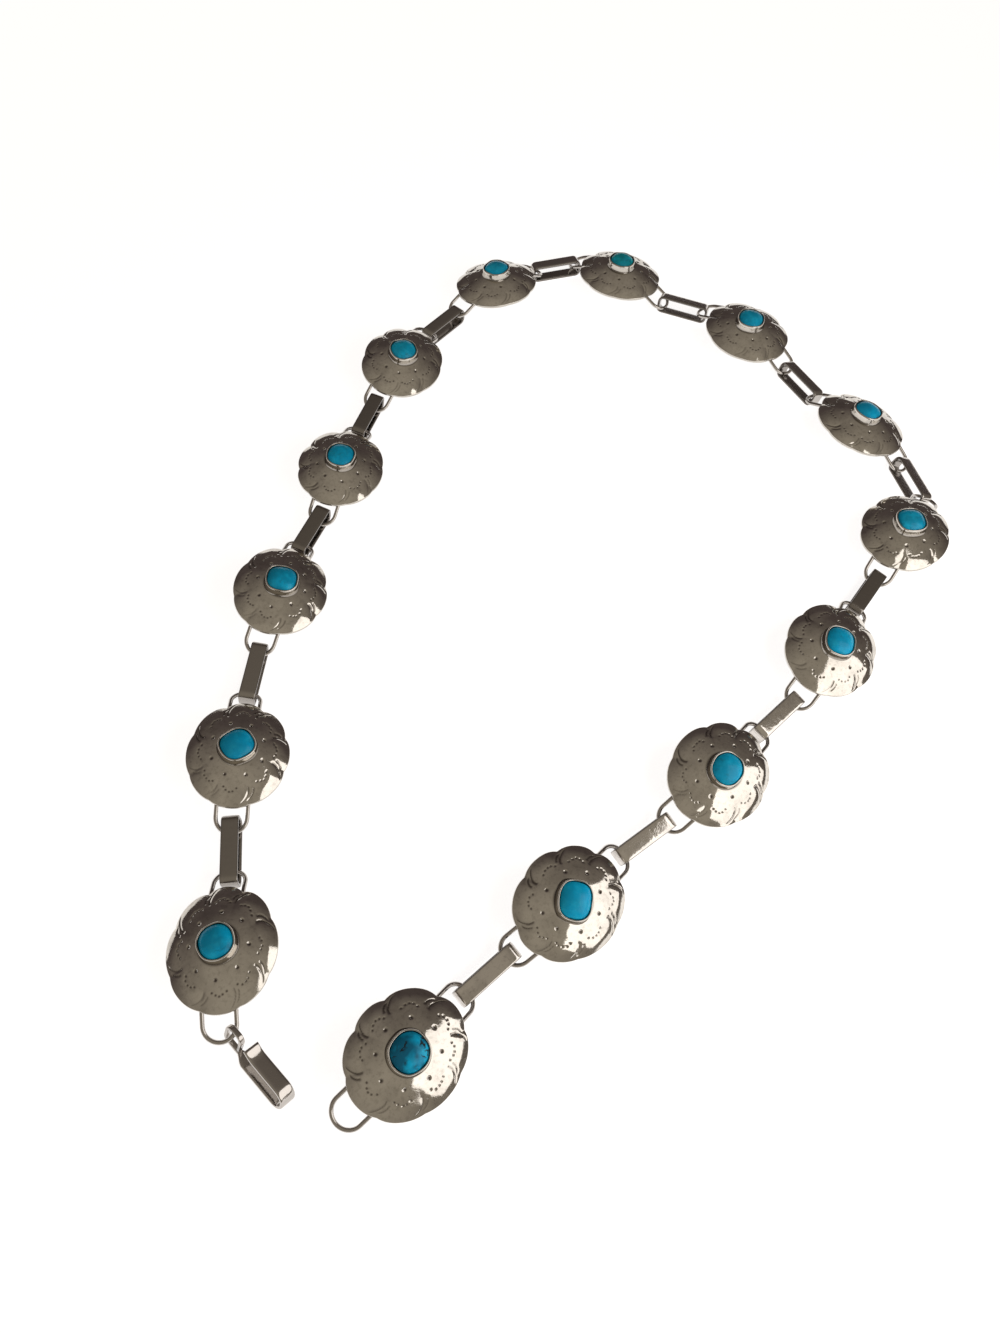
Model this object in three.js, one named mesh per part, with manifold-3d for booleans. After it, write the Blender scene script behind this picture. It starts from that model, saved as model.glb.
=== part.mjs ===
// Concho belt: domed silver plates set with turquoise, joined by strip links, with a hook at one end.
// Millimetres, +Z up. The belt lies open on the plane z = 0, its two ends towards -Y.
// A concho's own frame has x along the belt towards the next one, y across it and z = 0 at its rim.

import * as THREE from 'three';
import { mergeVertices } from 'three/addons/utils/BufferGeometryUtils.js';
import Module from 'manifold-3d';

const wasm = await Module();
wasm.setup();

// Concho plate
const CONCHO_LENGTH = 35.5;
const CONCHO_WIDTH = 31;
const PLATE_WALL = 0.9;
const DOME_RISE = 5.4;
const DOME_POWER = 1.7;
const LOBES = 8;
const SCALLOP_DEPTH = 0.8;
const LOBE_SWELL = 0.35;
const POINTS_PER_LOBE = 3;
const UNDERSIDE_ROWS = [0.6];
const SWELL_ROW = 0.78;

// Bezel cup and cabochon
const STONE_DIAMETER = 9.4;
const STONE_CROWN = 1.5;
const STONE_SIDES = 14;
const STONE_SHOULDER = 0.7;
const BEZEL_HEIGHT = 2.9;
const BEZEL_WALL = 0.6;
const FIT_GAP = 0.3;

// Half-ring of wire soldered under each end of a concho, sloping down past the rim (degrees)
const RING_WIRE = 1.3;
const RING_WIDTH = 10.6;
const RING_REACH = 8.6;
const RING_SLOPE = 26;
const RING_LEG = 4.5;
const SOLDER_BITE = 0.35;
const WIRE_SIDES = 6;
const BEND_STEP = 30;

// Link: a flat strip bent into a closed loop
const LINK_LENGTH = 19.5;
const LINK_HEIGHT = 4.7;
const LINK_STRIP = 5.2;
const LINK_WALL = 1.1;
const LINK_CORNER = 1.2;
const SEAT_DEPTH = 0.9;
const CORNER_STEPS = 2;

// Hook: an eye round the wire, a straight back and a tongue folded over it
const HOOK_LENGTH = 25;
const HOOK_HEIGHT = 5.4;
const HOOK_STRIP = 4.6;
const HOOK_EYE_STRIP = 1.6;
const HOOK_EYE_LENGTH = 4.4;
const HOOK_WALL = 1.1;
const HOOK_MOUTH = 2.6;
const HOOK_FLARE = 1.2;
const HOOK_FLARE_LENGTH = 2.6;

// The loops that rings hang in: clear height, wall, strip at its widest and strip where the wire sits
const LINK_LOOP = { inner: LINK_HEIGHT, wall: LINK_WALL, strip: LINK_STRIP, seat: LINK_STRIP };
const HOOK_LOOP = { inner: HOOK_HEIGHT, wall: HOOK_WALL, strip: HOOK_STRIP, seat: HOOK_EYE_STRIP };

// How each concho lies, in degrees: heading of its long axis, roll about it and pitch along it
const CONCHO_LAY = [
  { heading: 98, roll: -3, pitch: 2 },
  { heading: 95, roll: 8, pitch: 1 },
  { heading: 81, roll: 12, pitch: 2 },
  { heading: 79, roll: 6, pitch: 0 },
  { heading: 67, roll: 9, pitch: -2 },
  { heading: 44, roll: -5, pitch: 2 },
  { heading: -32, roll: -3, pitch: -1 },
  { heading: -43, roll: 1, pitch: 1 },
  { heading: -46, roll: -7, pitch: 1 },
  { heading: -122, roll: 2, pitch: 1 },
  { heading: -122, roll: -9, pitch: 2 },
  { heading: -133, roll: -13, pitch: 2 },
  { heading: -135, roll: -14, pitch: 0 },
  { heading: -131, roll: -11, pitch: -3 },
];

// How each link lies, in degrees, and the share of its play that is pulled out (1 is taut)
const LINK_LAY = [
  { heading: 100, roll: 0, pull: 0.3 },
  { heading: 88, roll: 8, pull: 0.7 },
  { heading: 72, roll: 7, pull: 0.1 },
  { heading: 75, roll: 7, pull: 0.2 },
  { heading: 54, roll: 1, pull: 0.7 },
  { heading: 20, roll: -6, pull: 0.7 },
  { heading: -17, roll: -17, pull: 0.7 },
  { heading: -57, roll: -17, pull: 0.9 },
  { heading: -72, roll: -23, pull: 0.6 },
  { heading: -124, roll: -6, pull: 0.7 },
  { heading: -134, roll: -10, pull: 0.9 },
  { heading: -140, roll: -12, pull: 0.9 },
  { heading: -135, roll: -11, pull: 0.6 },
];

// How the hook lies: its heading towards the first concho and its roll
const HOOK_LAY = { heading: 139, roll: 24 };

// Outline of each cabochon as shares of STONE_DIAMETER, its squareness (2 is round), turn in degrees
// and crown as a share of STONE_CROWN
const STONE_CUTS = [
  { along: 1.0, across: 0.98, square: 2.2, turn: 20, crown: 1.0 },
  { along: 0.98, across: 1.02, square: 2.5, turn: 35, crown: 0.9 },
  { along: 0.96, across: 1.0, square: 2.6, turn: 10, crown: 1.0 },
  { along: 1.02, across: 0.96, square: 2.3, turn: 0, crown: 0.9 },
  { along: 0.98, across: 1.0, square: 2.2, turn: 50, crown: 1.1 },
  { along: 1.02, across: 0.96, square: 2.4, turn: 15, crown: 1.0 },
  { along: 1.0, across: 0.94, square: 2.2, turn: 0, crown: 1.2 },
  { along: 1.0, across: 1.0, square: 2.3, turn: 30, crown: 1.0 },
  { along: 1.0, across: 0.94, square: 2.4, turn: 0, crown: 0.9 },
  { along: 0.98, across: 0.98, square: 2.6, turn: 40, crown: 1.1 },
  { along: 1.02, across: 0.96, square: 2.5, turn: 20, crown: 1.1 },
  { along: 1.06, across: 0.96, square: 2.2, turn: 10, crown: 1.0 },
  { along: 1.1, across: 0.96, square: 2.7, turn: 40, crown: 1.1 },
  { along: 1.06, across: 1.04, square: 2.2, turn: 0, crown: 1.0 },
];

const rad = THREE.MathUtils.degToRad;

// Look of each kind of piece
const SILVER = { color: 0x9a9286, roughness: 0.3, metalness: 1 };
const LINK_SILVER = { color: 0x7c746a, roughness: 0.35, metalness: 1 };
const TURQUOISE = { color: 0x1f7f99, roughness: 0.3, metalness: 0 };

// Closed surface through rows of points, each row a loop or a single pole point, from below to above
function shell(rows) {
  const starts = [];
  const positions = [];
  for (const row of rows) {
    starts.push(positions.length / 3);
    for (const point of row) positions.push(...point);
  }
  const faces = [];
  for (let r = 0; r + 1 < rows.length; r++) {
    const sides = Math.max(rows[r].length, rows[r + 1].length);
    for (let k = 0; k < sides; k++) {
      const next = (k + 1) % sides;
      const low = (i) => starts[r] + (rows[r].length === 1 ? 0 : i);
      const high = (i) => starts[r + 1] + (rows[r + 1].length === 1 ? 0 : i);
      if (rows[r].length > 1) faces.push(low(k), low(next), high(next));
      if (rows[r + 1].length > 1) faces.push(low(k), high(next), high(k));
    }
  }
  const geometry = new THREE.BufferGeometry();
  geometry.setAttribute('position', new THREE.Float32BufferAttribute(positions, 3));
  geometry.setIndex(faces);
  return geometry;
}

function toSolid(geometry) {
  const bare = geometry.clone();
  bare.deleteAttribute('normal');
  bare.deleteAttribute('uv');
  const merged = mergeVertices(bare, 1e-4);
  return new wasm.Manifold(new wasm.Mesh({
    numProp: 3,
    vertProperties: new Float32Array(merged.attributes.position.array),
    triVerts: new Uint32Array(merged.index.array),
  }));
}

function toGeometry(solid) {
  const mesh = solid.getMesh();
  const geometry = new THREE.BufferGeometry();
  geometry.setAttribute('position', new THREE.Float32BufferAttribute(mesh.vertProperties, 3));
  geometry.setIndex(Array.from(mesh.triVerts));
  return geometry;
}

// Polygon in the x-z plane carried across a strip's width along y, centred on y = 0
function acrossStrip(shape, width) {
  const geometry = new THREE.ExtrudeGeometry(shape, {
    depth: width,
    bevelEnabled: false,
    curveSegments: CORNER_STEPS,
  });
  geometry.rotateX(Math.PI / 2);
  geometry.translate(0, width / 2, 0);
  return geometry;
}

// Rectangle with rounded corners about (x, z), added to a shape or one of its holes
function roundedRectangle(path, x, z, length, height, corner) {
  const right = x + length / 2 - corner;
  const left = x - length / 2 + corner;
  const top = z + height / 2 - corner;
  const bottom = z - height / 2 + corner;
  path.absarc(right, top, corner, 0, Math.PI / 2);
  path.absarc(left, top, corner, Math.PI / 2, Math.PI);
  path.absarc(left, bottom, corner, Math.PI, 1.5 * Math.PI);
  path.absarc(right, bottom, corner, 1.5 * Math.PI, 2 * Math.PI);
  return path;
}

function loopShape(x, z, innerLength, innerHeight, wall, corner) {
  const outerLength = innerLength + 2 * wall;
  const outerHeight = innerHeight + 2 * wall;
  const shape = roundedRectangle(new THREE.Shape(), x, z, outerLength, outerHeight, corner + wall);
  shape.holes.push(roundedRectangle(new THREE.Path(), x, z, innerLength, innerHeight, corner));
  return shape;
}

// Round wire swept along points that lie nearly level, closed at both ends
function sweptWire(points, diameter, sides) {
  const up = new THREE.Vector3(0, 0, 1);
  const rows = points.map((point, i) => {
    const before = points[Math.max(i - 1, 0)];
    const after = points[Math.min(i + 1, points.length - 1)];
    const along = new THREE.Vector3().subVectors(after, before).normalize();
    const side = new THREE.Vector3().crossVectors(up, along).normalize();
    const lift = new THREE.Vector3().crossVectors(along, side);
    const row = [];
    for (let k = 0; k < sides; k++) {
      const angle = (2 * Math.PI * k) / sides;
      row.push(point.clone()
        .addScaledVector(side, (diameter / 2) * Math.cos(angle))
        .addScaledVector(lift, (diameter / 2) * Math.sin(angle))
        .toArray());
    }
    return row;
  });
  const first = points[0].toArray();
  const last = points[points.length - 1].toArray();
  return shell([[first], ...rows, [last]]);
}

// Share of the way from the middle of a lobe (0) to the notch beside it (1)
function lobeOffset(angle) {
  const turns = (angle * LOBES) / (2 * Math.PI);
  return 2 * Math.abs(turns - Math.round(turns));
}

function underside(share) {
  return DOME_RISE * (1 - share ** DOME_POWER);
}

const PLATE_SIDES = LOBES * POINTS_PER_LOBE;

function plateAngle(k) {
  return ((k + 0.5) * 2 * Math.PI) / PLATE_SIDES;
}

// One row round the dome at a share of the rim's radius, lifted above the underside
function domeRow(share, lift, swell) {
  const row = [];
  for (let k = 0; k < PLATE_SIDES; k++) {
    const angle = plateAngle(k);
    const offset = lobeOffset(angle) ** 2;
    const reach = share * (1 - (SCALLOP_DEPTH / (CONCHO_WIDTH / 2)) * offset);
    row.push([
      (CONCHO_LENGTH / 2) * reach * Math.cos(angle),
      (CONCHO_WIDTH / 2) * reach * Math.sin(angle),
      underside(share) + lift + swell * (1 - offset),
    ]);
  }
  return row;
}

function stoneRadius(cut, angle) {
  const turned = angle - rad(cut.turn);
  const along = Math.abs(Math.cos(turned)) / (cut.along * STONE_DIAMETER / 2);
  const across = Math.abs(Math.sin(turned)) / (cut.across * STONE_DIAMETER / 2);
  return (along ** cut.square + across ** cut.square) ** (-1 / cut.square);
}

function bezelRow(cut, outset, z) {
  const row = [];
  for (let k = 0; k < PLATE_SIDES; k++) {
    const angle = plateAngle(k);
    const radius = stoneRadius(cut, angle) + outset;
    row.push([radius * Math.cos(angle), radius * Math.sin(angle), z]);
  }
  return row;
}

const BEZEL_OUTSET = FIT_GAP + BEZEL_WALL;
const FOOT_SHARE = (STONE_DIAMETER / 2 + BEZEL_OUTSET) / (CONCHO_WIDTH / 2);
const FOOT_Z = underside(FOOT_SHARE) + PLATE_WALL;
const LIP_Z = FOOT_Z + BEZEL_HEIGHT;
const FLOOR_Z = DOME_RISE + PLATE_WALL;

// Sheet dome with its edge, and the bezel cup that stands on it
function plate(cut) {
  return shell([
    [[0, 0, DOME_RISE]],
    ...UNDERSIDE_ROWS.map((share) => domeRow(share, 0, 0)),
    domeRow(1, 0, 0),
    domeRow(1, PLATE_WALL, 0),
    domeRow(SWELL_ROW, PLATE_WALL, LOBE_SWELL),
    bezelRow(cut, BEZEL_OUTSET, FOOT_Z),
    bezelRow(cut, BEZEL_OUTSET, LIP_Z),
    bezelRow(cut, FIT_GAP, LIP_Z),
    bezelRow(cut, FIT_GAP, FLOOR_Z),
    [[0, 0, FLOOR_Z]],
  ]);
}

const RING_RADIUS = (RING_WIDTH - RING_WIRE) / 2;
const RING_CENTRE = RING_REACH - RING_WIDTH / 2;
const RING_ACROSS = RING_RADIUS / (CONCHO_WIDTH / 2);
const RING_ROOT = (CONCHO_LENGTH / 2) * Math.sqrt(1 - RING_ACROSS ** 2);
const RING_Z = SOLDER_BITE - RING_WIRE / 2;

// Point on the wire of a half-ring, in the concho's frame, at an angle from the ring's middle
function ringPoint(angle) {
  const past = RING_CENTRE + RING_RADIUS * Math.cos(angle);
  const slope = rad(RING_SLOPE);
  return new THREE.Vector3(
    RING_ROOT + past * Math.cos(slope),
    RING_RADIUS * Math.sin(angle),
    RING_Z - past * Math.sin(slope),
  );
}

// Direction of the wire at the same place
function ringTangent(angle) {
  const slope = rad(RING_SLOPE);
  return new THREE.Vector3(
    -Math.sin(angle) * Math.cos(slope),
    Math.cos(angle),
    Math.sin(angle) * Math.sin(slope),
  );
}

// Wire bent to a half-ring past the rim, its legs following the underside of the dome
function halfRing(direction) {
  const legX = RING_ROOT - RING_LEG;
  const legShare = Math.hypot(legX / (CONCHO_LENGTH / 2), RING_ACROSS);
  const legZ = underside(legShare) + RING_Z;
  const points = [
    new THREE.Vector3(legX, -RING_RADIUS, legZ),
    new THREE.Vector3(RING_ROOT, -RING_RADIUS, RING_Z),
  ];
  for (let angle = -90; angle <= 90; angle += BEND_STEP) points.push(ringPoint(rad(angle)));
  points.push(
    new THREE.Vector3(RING_ROOT, RING_RADIUS, RING_Z),
    new THREE.Vector3(legX, RING_RADIUS, legZ),
  );
  const wire = sweptWire(points, RING_WIRE, WIRE_SIDES);
  if (direction < 0) wire.rotateZ(Math.PI);
  return wire;
}

function conchoGeometry(cut) {
  const solid = toSolid(plate(cut)).add(toSolid(halfRing(1))).add(toSolid(halfRing(-1)));
  return toGeometry(solid);
}

function stoneRow(cut, share, z) {
  const row = [];
  for (let k = 0; k < STONE_SIDES; k++) {
    const angle = (2 * Math.PI * k) / STONE_SIDES;
    const radius = stoneRadius(cut, angle) * share;
    row.push([radius * Math.cos(angle), radius * Math.sin(angle), z]);
  }
  return row;
}

// Flat-backed cabochon, its girdle just below the bezel's lip
function stoneGeometry(cut) {
  const back = FLOOR_Z + FIT_GAP;
  const girdle = LIP_Z - FIT_GAP;
  const crown = STONE_CROWN * cut.crown + FIT_GAP;
  return shell([
    [[0, 0, back]],
    stoneRow(cut, 1, back),
    stoneRow(cut, 1, girdle),
    stoneRow(cut, STONE_SHOULDER, girdle + crown * (1 - STONE_SHOULDER ** 2)),
    [[0, 0, girdle + crown]],
  ]);
}

function linkGeometry() {
  return acrossStrip(loopShape(0, 0, LINK_LENGTH, LINK_HEIGHT, LINK_WALL, LINK_CORNER), LINK_STRIP);
}

// Side view of the hook's back, fold and tongue, as one strip of even thickness with a flared tip
function hookProfile() {
  const fold = (HOOK_HEIGHT + HOOK_WALL) / 2;
  const foldX = HOOK_LENGTH - HOOK_WALL - HOOK_HEIGHT / 2;
  const tipX = HOOK_EYE_LENGTH + HOOK_WALL + HOOK_MOUTH;
  const shape = new THREE.Shape();
  shape.moveTo(HOOK_EYE_LENGTH, -fold - HOOK_WALL / 2);
  shape.lineTo(foldX, -fold - HOOK_WALL / 2);
  shape.absarc(foldX, 0, fold + HOOK_WALL / 2, -Math.PI / 2, 0);
  shape.absarc(foldX, 0, fold + HOOK_WALL / 2, 0, Math.PI / 2);
  shape.lineTo(tipX + HOOK_FLARE_LENGTH, fold + HOOK_WALL / 2);
  shape.lineTo(tipX, fold + HOOK_WALL / 2 + HOOK_FLARE);
  shape.lineTo(tipX, fold - HOOK_WALL / 2 + HOOK_FLARE);
  shape.lineTo(tipX + HOOK_FLARE_LENGTH, fold - HOOK_WALL / 2);
  shape.lineTo(foldX, fold - HOOK_WALL / 2);
  shape.absarc(foldX, 0, fold - HOOK_WALL / 2, Math.PI / 2, 0, true);
  shape.absarc(foldX, 0, fold - HOOK_WALL / 2, 0, -Math.PI / 2, true);
  shape.lineTo(HOOK_EYE_LENGTH, -fold + HOOK_WALL / 2);
  shape.closePath();
  return shape;
}

// Seen from above the strip is narrow at the eye and full width along the tongue
function hookOutline() {
  const eye = HOOK_EYE_STRIP / 2;
  const body = HOOK_STRIP / 2;
  const neck = HOOK_EYE_LENGTH + HOOK_WALL;
  const shape = new THREE.Shape();
  shape.moveTo(-HOOK_WALL - FIT_GAP, -eye);
  shape.lineTo(neck, -eye);
  shape.lineTo(neck + HOOK_MOUTH, -body);
  shape.lineTo(HOOK_LENGTH + FIT_GAP, -body);
  shape.lineTo(HOOK_LENGTH + FIT_GAP, body);
  shape.lineTo(neck + HOOK_MOUTH, body);
  shape.lineTo(neck, eye);
  shape.lineTo(-HOOK_WALL - FIT_GAP, eye);
  shape.closePath();
  const depth = 2 * (HOOK_HEIGHT + HOOK_FLARE + 2 * HOOK_WALL);
  return new THREE.ExtrudeGeometry(shape, { depth, bevelEnabled: false }).translate(0, 0, -depth / 2);
}

// The hook points towards -x from x = 0, the inside of the eye's closed end
function hookGeometry() {
  const eye = loopShape(HOOK_EYE_LENGTH / 2, 0, HOOK_EYE_LENGTH, HOOK_HEIGHT, HOOK_WALL, LINK_CORNER);
  const strip = toSolid(acrossStrip(eye, HOOK_STRIP)).add(toSolid(acrossStrip(hookProfile(), HOOK_STRIP)));
  return toGeometry(strip.intersect(toSolid(hookOutline()))).rotateZ(Math.PI);
}

// A concho turned to its heading, then pitched and rolled about its own axes
function layTurn(lay) {
  return new THREE.Matrix4().makeRotationZ(rad(lay.heading))
    .multiply(new THREE.Matrix4().makeRotationY(rad(lay.pitch ?? 0)))
    .multiply(new THREE.Matrix4().makeRotationX(rad(lay.roll)));
}

// Point of a concho's half-ring that a loop with this heading hangs on, in the concho's frame
function hangingPoint(concho, heading, direction) {
  const point = ringPoint(rad(heading - concho.heading));
  return new THREE.Vector3(direction * point.x, direction * point.y, point.z);
}

// Height of a loop's middle when its lower edge rests on the plane z = 0
function restingMiddle(lay, loop) {
  const roll = Math.abs(rad(lay.roll));
  return (loop.inner / 2 + loop.wall) * Math.cos(roll) + (loop.strip / 2) * Math.sin(roll);
}

// Slope of the wire across a loop that hangs on it, seen along the loop
function wireSlope(concho, lay, direction) {
  const along = ringTangent(rad(lay.heading - concho.heading));
  along.set(direction * along.x, direction * along.y, along.z).applyMatrix4(layTurn(concho));
  along.applyMatrix4(layTurn(lay).invert());
  return Math.abs(along.z / along.y);
}

// Place of a ring's wire above a loop's middle, in the loop's frame, where it rests on the lower strip
function wireLift(concho, lay, loop, direction) {
  const slope = wireSlope(concho, lay, direction);
  return RING_WIRE / 2 + FIT_GAP - loop.inner / 2 + (loop.seat / 2) * slope;
}

function wireHeight(concho, lay, loop, direction) {
  return restingMiddle(lay, loop) + wireLift(concho, lay, loop, direction) * Math.cos(rad(lay.roll));
}

// Sideways shift that keeps a rolled loop centred on the wire inside it
function rollShift(lay, lift) {
  const up = new THREE.Vector3(0, 0, 1).transformDirection(layTurn(lay));
  return new THREE.Vector3(-lift * up.x, -lift * up.y, 0);
}

// Height at which a concho's rim and free ring stay above the plane z = 0
function rimHeight(turn) {
  const points = domeRow(1, 0, 0).map((point) => new THREE.Vector3(...point));
  for (const direction of [-1, 1]) {
    const tip = ringPoint(0);
    points.push(new THREE.Vector3(direction * tip.x, 0, tip.z - RING_WIRE / 2));
  }
  return -Math.min(...points.map((point) => point.applyMatrix4(turn).z));
}

const RING_OPENING = ringPoint(0).x - RING_WIRE / 2 - CONCHO_LENGTH / 2;
const END_ROOM = RING_OPENING - LINK_WALL - 2 * FIT_GAP;
const TAUT_SPAN = LINK_LENGTH - RING_WIRE - 2 * (SEAT_DEPTH + FIT_GAP);
const LOOSE_SPAN = TAUT_SPAN - 2 * (END_ROOM - SEAT_DEPTH);

// Walks the chain from the first concho and gives the place of every concho and link
function layBelt() {
  const conchos = [];
  const links = [];
  const plan = new THREE.Vector3();
  CONCHO_LAY.forEach((lay, i) => {
    const turn = layTurn(lay);
    const before = LINK_LAY[i - 1];
    const after = LINK_LAY[i];
    const heights = [rimHeight(turn)];
    if (before) {
      const hung = hangingPoint(lay, before.heading, -1).applyMatrix4(turn);
      const span = LOOSE_SPAN + (TAUT_SPAN - LOOSE_SPAN) * before.pull;
      const along = new THREE.Vector3(Math.cos(rad(before.heading)), Math.sin(rad(before.heading)), 0);
      const middle = plan.clone().addScaledVector(along, span / 2);
      const nearLift = wireLift(CONCHO_LAY[i - 1], before, LINK_LOOP, 1);
      const farLift = wireLift(lay, before, LINK_LOOP, -1);
      middle.add(rollShift(before, (nearLift + farLift) / 2));
      middle.z = restingMiddle(before, LINK_LOOP);
      links.push({ turn: layTurn(before), place: middle });
      plan.addScaledVector(along, span).sub(hung);
      heights.push(wireHeight(lay, before, LINK_LOOP, -1) - hung.z);
    }
    if (i === 0) {
      const hung = hangingPoint(lay, HOOK_LAY.heading, -1).applyMatrix4(turn);
      heights.push(wireHeight(lay, HOOK_LAY, HOOK_LOOP, -1) - hung.z);
    }
    if (after) {
      const hung = hangingPoint(lay, after.heading, 1).applyMatrix4(turn);
      heights.push(wireHeight(lay, after, LINK_LOOP, 1) - hung.z);
    }
    const place = new THREE.Vector3(plan.x, plan.y, Math.max(...heights));
    conchos.push({ turn, place });
    if (after) plan.add(hangingPoint(lay, after.heading, 1).applyMatrix4(turn));
  });
  return { conchos, links };
}

// The hook hangs on the first concho's free ring, its eye's end inside the ring
function layHook(first) {
  const away = hangingPoint(CONCHO_LAY[0], HOOK_LAY.heading, -1);
  const hung = away.applyMatrix4(first.turn).add(first.place);
  const heading = rad(HOOK_LAY.heading);
  const back = RING_WIRE / 2 + 3 * FIT_GAP;
  const place = rollShift(HOOK_LAY, wireLift(CONCHO_LAY[0], HOOK_LAY, HOOK_LOOP, -1));
  place.x += hung.x + back * Math.cos(heading);
  place.y += hung.y + back * Math.sin(heading);
  place.z = restingMiddle(HOOK_LAY, HOOK_LOOP);
  return { turn: layTurn(HOOK_LAY), place };
}

function placed(name, geometry, look, lay) {
  const mesh = new THREE.Mesh(geometry, new THREE.MeshStandardMaterial(look));
  mesh.name = name;
  mesh.applyMatrix4(lay.turn);
  mesh.position.copy(lay.place);
  return mesh;
}

const number = (i) => String(i + 1).padStart(2, '0');
const belt = new THREE.Group();
const { conchos, links } = layBelt();

conchos.forEach((lay, i) => {
  belt.add(placed(`concho_${number(i)}`, conchoGeometry(STONE_CUTS[i]), SILVER, lay));
  belt.add(placed(`stone_${number(i)}`, stoneGeometry(STONE_CUTS[i]), TURQUOISE, lay));
});
links.forEach((lay, i) => {
  belt.add(placed(`link_${number(i)}`, linkGeometry(), LINK_SILVER, lay));
});
belt.add(placed('hook', hookGeometry(), LINK_SILVER, layHook(conchos[0])));

// The origin is below the middle of the belt's box, on the plane that it lies on
belt.updateMatrixWorld(true);
const box = new THREE.Box3().setFromObject(belt, true);
const middle = box.getCenter(new THREE.Vector3());
belt.position.set(-middle.x, -middle.y, -box.min.z);
belt.updateMatrixWorld(true);

export default belt;
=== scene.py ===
import math

import bpy
import numpy as np
from mathutils import Matrix


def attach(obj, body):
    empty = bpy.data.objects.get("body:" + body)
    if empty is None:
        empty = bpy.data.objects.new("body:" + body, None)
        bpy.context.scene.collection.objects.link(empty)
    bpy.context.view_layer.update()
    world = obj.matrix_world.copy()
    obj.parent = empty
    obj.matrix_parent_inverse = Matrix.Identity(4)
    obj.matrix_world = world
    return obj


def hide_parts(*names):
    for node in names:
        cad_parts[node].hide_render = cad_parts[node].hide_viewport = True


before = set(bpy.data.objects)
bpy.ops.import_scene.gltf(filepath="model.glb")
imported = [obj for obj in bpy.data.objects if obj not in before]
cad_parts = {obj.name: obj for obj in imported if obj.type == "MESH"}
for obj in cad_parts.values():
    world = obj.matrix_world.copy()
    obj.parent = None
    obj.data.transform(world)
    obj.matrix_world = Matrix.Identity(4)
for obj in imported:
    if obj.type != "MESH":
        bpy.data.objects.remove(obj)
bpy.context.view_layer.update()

# The belt's pieces in millimetres, each in its own frame, then carried to where its CAD node lies.
# A concho's frame has x along the belt to the next one, y across it and z = 0 at its rim.
MM = 0.001

# Concho plate
# The swell and the rows lie at shares of the rim's radius. Sway and spread are radians, edge turns degrees.
CONCHO_LENGTH = 35.5
CONCHO_WIDTH = 31
PLATE_WALL = 0.9
DOME_RISE = 5.4
DOME_POWER = 1.7
LOBES = 8
SCALLOP_DEPTH = 0.65
SCALLOP_POWER = 2.6
LOBE_SWELL = 0.32
SWELL_SHARE = 0.86
SWELL_REACH = 0.14
LOBE_SWAY = 0.07
SECOND_SWAY = 0.6
NOTCH_VARIATION = 0.5
SIDE_SPREAD = 0.7
PLATE_COLUMNS = 240
PLATE_ROWS = 84
INNER_ROWS = (0.1, 0.2)
FIRST_PLATE_ROW = 0.29
LOWER_ROWS = (1, 0.96, 0.88, 0.78, 0.66, 0.52, 0.36, 0.18)
EDGE_TURNS = (20, 50, 90, 130, 160)
EDGE_BULGE = 0.25

# Stamped work
# Places are shares of the rim's radius, slants and steps are degrees, and sizes are millimetres. Shifts and
# turns are how far the hand strays, as shares of the radius and in radians.
GROOVE_INNER = 0.74
GROOVE_OUTER = 0.95
GROOVE_SLANT = 9
GROOVE_BOW = 2.5
GROOVE_WIDTH = 0.26
GROOVE_DEPTH = 0.22
GROOVE_PAIR = 5.5
GROOVE_SHORTER = (0.05, 0.03)
GROOVE_FADE = 0.02
DOT_RING = 0.53
DOT_RADIUS = 0.46
DOT_DEPTH = 0.36
DOT_SHIFT = 0.02
DOT_TURN = 0.05
ARC_SHARE = 0.76
ARC_SAG = 0.012
ARC_STEP = 5.2
ARC_DOTS = (-2, -1, 0, 1, 2)
ARC_DOT_RADIUS = 0.3
ARC_DOT_DEPTH = 0.2
ARC_SHIFT = 0.008
ARC_TURN = 0.015
HAMMER_DEPTH = 0.015
HAMMER_WAVES = 8
HAMMER_LENGTHS = (4, 11)

# Bezel cup
# Its profile goes from the foot over the lip to the floor inside, so far out from the wall and so far up
# from the foot. Each of its waves has a count round the cup and a size.
BEZEL_HEIGHT = 2.9
BEZEL_WALL = 0.6
BEZEL_OUT = (0.55, 0.25, 0.05, -0.1, -0.16, -0.2, -0.3, -0.48, -0.66, -0.78, -0.8, -0.72)
BEZEL_UP = (-0.55, -0.1, 0.35, 0.9, 2.0, 2.6, 2.86, 2.98, 2.9, 2.7, 2.2, 0.4)
BEZEL_WAVES = ((3, 0.05), (7, 0.035))
BEZEL_WAVE_TURN = 6
BEZEL_WAVY_FROM = 2
CUP_FLOOR_LIFT = 0.1
BEZEL_SIDES = 120
FIT_GAP = 0.3

# Cabochon
# Over an upright girdle and a bevel the crown's rows lie at the cosines of turns in radians.
STONE_DIAMETER = 9.4
STONE_CROWN = 1.5
GIRDLE_BEVEL = 0.3
CROWN_TURNS = (0.12, 1.5)
CROWN_ROWS = 26
CROWN_POWER = 2.3
CROWN_ROUNDNESS = 0.85
STONE_UNEVENNESS = 0.05
STONE_SIDES = 96

# Half-ring of wire
# One lies under each end of a concho and slopes down past the rim.
RING_WIRE = 1.3
RING_WIDTH = 10.6
RING_REACH = 8.6
RING_SLOPE = 26
RING_LEG = 4.5
RING_STEPS = 33
LEG_BEND = 0.6
LEG_DROP = 0.58
WIRE_SIDES = 14
SOLDER_BITE = 0.35

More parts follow.
